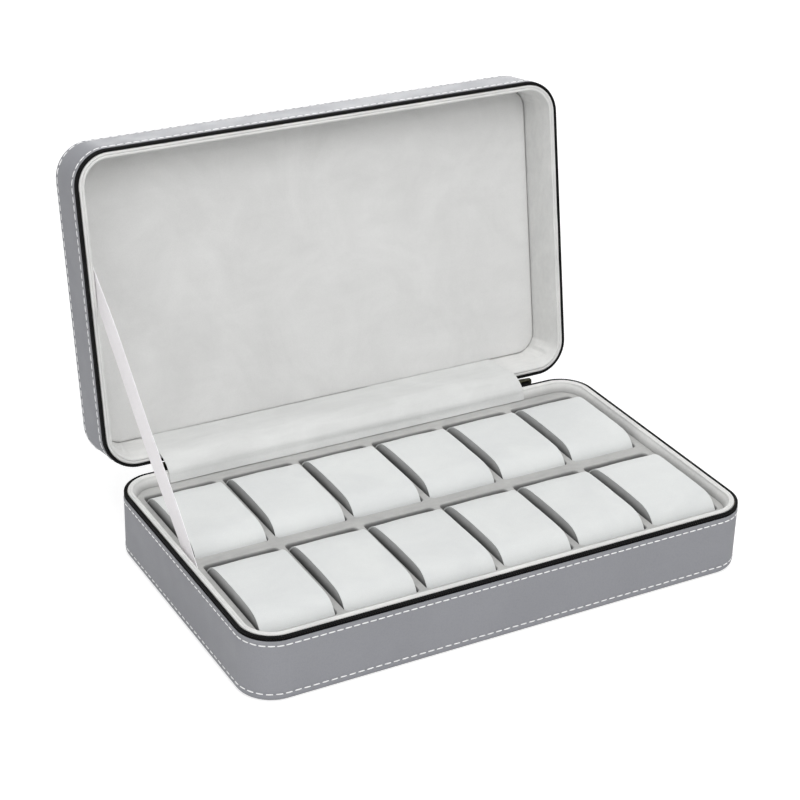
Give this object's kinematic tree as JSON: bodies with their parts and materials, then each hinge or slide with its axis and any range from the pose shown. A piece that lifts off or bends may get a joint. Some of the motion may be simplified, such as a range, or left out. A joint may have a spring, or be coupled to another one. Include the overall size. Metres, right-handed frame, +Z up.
{
  "type": "watch travel case",
  "caption": "Zip-round travel case for watches, shown open: leather-covered base and lid, velvet lining, two rows of removable watch pillows, ribbon lid stay.",
  "frame": {"origin": "centre of the base's flat underside", "axes": "+X to the right along the long side, +Y to the back where the hinge is, +Z up; the lid is stored open"},
  "size_m": [0.335, 0.2794, 0.239],
  "materials": {
    "leather": "fine pebble grain, grey, semi-matte",
    "board": "fibreboard, hidden",
    "zip_tape": "black woven tape",
    "zip_coil": "black nylon coil",
    "zip_metal": "dark gunmetal",
    "lining_velvet": "short pile velvet, pale grey",
    "pillow_velvet": "short pile velvet, pale grey",
    "foam": "foam, hidden",
    "ribbon": "satin ribbon, pale grey"
  },
  "bodies": {
    "base": {"base_bottom_leather": "leather", "base_side_leather": "leather", "base_floor_board": "board", "base_wall_board": "board", "base_zip_tape": "zip_tape", "base_zip_coil": "zip_coil", "base_wall_lining": "lining_velvet", "base_floor_lining": "lining_velvet", "tray_ledge_board": "board", "tray_rib_board": "board", "tray_divider_boards": "board", "tray_velvet_cover": "lining_velvet", "hinge_spine": "leather", "hinge_liner": "lining_velvet", "zip_end_tapes": "zip_tape", "zip_end_stops": "zip_metal", "stay_ribbon": "ribbon"},
    "lid": {"lid_back_leather": "leather", "lid_side_leather": "leather", "lid_back_board": "board", "lid_wall_board": "board", "lid_zip_tape": "zip_tape", "lid_zip_coil": "zip_coil", "lid_wall_lining": "lining_velvet", "lid_pad_foam": "foam", "lid_pad_cover": "lining_velvet"},
    "pillow_back_1": {"pillow_back_1_cover": "pillow_velvet", "pillow_back_1_foam": "foam"},
    "pillow_back_2": {"pillow_back_2_cover": "pillow_velvet", "pillow_back_2_foam": "foam"},
    "pillow_back_3": {"pillow_back_3_cover": "pillow_velvet", "pillow_back_3_foam": "foam"},
    "pillow_back_4": {"pillow_back_4_cover": "pillow_velvet", "pillow_back_4_foam": "foam"},
    "pillow_back_5": {"pillow_back_5_cover": "pillow_velvet", "pillow_back_5_foam": "foam"},
    "pillow_back_6": {"pillow_back_6_cover": "pillow_velvet", "pillow_back_6_foam": "foam"},
    "pillow_front_1": {"pillow_front_1_cover": "pillow_velvet", "pillow_front_1_foam": "foam"},
    "pillow_front_2": {"pillow_front_2_cover": "pillow_velvet", "pillow_front_2_foam": "foam"},
    "pillow_front_3": {"pillow_front_3_cover": "pillow_velvet", "pillow_front_3_foam": "foam"},
    "pillow_front_4": {"pillow_front_4_cover": "pillow_velvet", "pillow_front_4_foam": "foam"},
    "pillow_front_5": {"pillow_front_5_cover": "pillow_velvet", "pillow_front_5_foam": "foam"},
    "pillow_front_6": {"pillow_front_6_cover": "pillow_velvet", "pillow_front_6_foam": "foam"},
    "slider_right": {"zip_slider_right": "zip_metal"},
    "pull_right": {"zip_pull_right": "zip_metal"},
    "slider_left": {"zip_slider_left": "zip_metal"},
    "pull_left": {"zip_pull_left": "zip_metal"}
  },
  "joints": [
    {"name": "lid_hinge", "type": "hinge", "parent": "base", "child": "lid", "pos_m": [0, 0.104, 0.039], "axis": [-1, 0, 0], "range_deg": [-100, 0], "deforming": ["hinge_spine", "hinge_liner", "zip_end_tapes", "stay_ribbon"]},
    {"name": "pillow_back_1_lift", "type": "slide", "parent": "base", "child": "pillow_back_1", "axis": [0, 0, 1], "range_m": [0, 0.06]},
    {"name": "pillow_back_2_lift", "type": "slide", "parent": "base", "child": "pillow_back_2", "axis": [0, 0, 1], "range_m": [0, 0.06]},
    {"name": "pillow_back_3_lift", "type": "slide", "parent": "base", "child": "pillow_back_3", "axis": [0, 0, 1], "range_m": [0, 0.06]},
    {"name": "pillow_back_4_lift", "type": "slide", "parent": "base", "child": "pillow_back_4", "axis": [0, 0, 1], "range_m": [0, 0.06]},
    {"name": "pillow_back_5_lift", "type": "slide", "parent": "base", "child": "pillow_back_5", "axis": [0, 0, 1], "range_m": [0, 0.06]},
    {"name": "pillow_back_6_lift", "type": "slide", "parent": "base", "child": "pillow_back_6", "axis": [0, 0, 1], "range_m": [0, 0.06]},
    {"name": "pillow_front_1_lift", "type": "slide", "parent": "base", "child": "pillow_front_1", "axis": [0, 0, 1], "range_m": [0, 0.06]},
    {"name": "pillow_front_2_lift", "type": "slide", "parent": "base", "child": "pillow_front_2", "axis": [0, 0, 1], "range_m": [0, 0.06]},
    {"name": "pillow_front_3_lift", "type": "slide", "parent": "base", "child": "pillow_front_3", "axis": [0, 0, 1], "range_m": [0, 0.06]},
    {"name": "pillow_front_4_lift", "type": "slide", "parent": "base", "child": "pillow_front_4", "axis": [0, 0, 1], "range_m": [0, 0.06]},
    {"name": "pillow_front_5_lift", "type": "slide", "parent": "base", "child": "pillow_front_5", "axis": [0, 0, 1], "range_m": [0, 0.06]},
    {"name": "pillow_front_6_lift", "type": "slide", "parent": "base", "child": "pillow_front_6", "axis": [0, 0, 1], "range_m": [0, 0.06]},
    {"name": "slider_right_run", "type": "slide", "parent": "base", "child": "slider_right", "axis": [1, 0, 0], "range_m": [0, 0.008]},
    {"name": "pull_right_swing", "type": "hinge", "parent": "slider_right", "child": "pull_right", "pos_m": [0.131, 0.104, 0.0373], "axis": [1, 0, 0], "range_deg": [-5, 75]},
    {"name": "slider_left_run", "type": "slide", "parent": "base", "child": "slider_left", "axis": [-1, 0, 0], "range_m": [0, 0.008]},
    {"name": "pull_left_swing", "type": "hinge", "parent": "slider_left", "child": "pull_left", "pos_m": [-0.131, 0.104, 0.0373], "axis": [1, 0, 0], "range_deg": [-5, 75]}
  ]
}
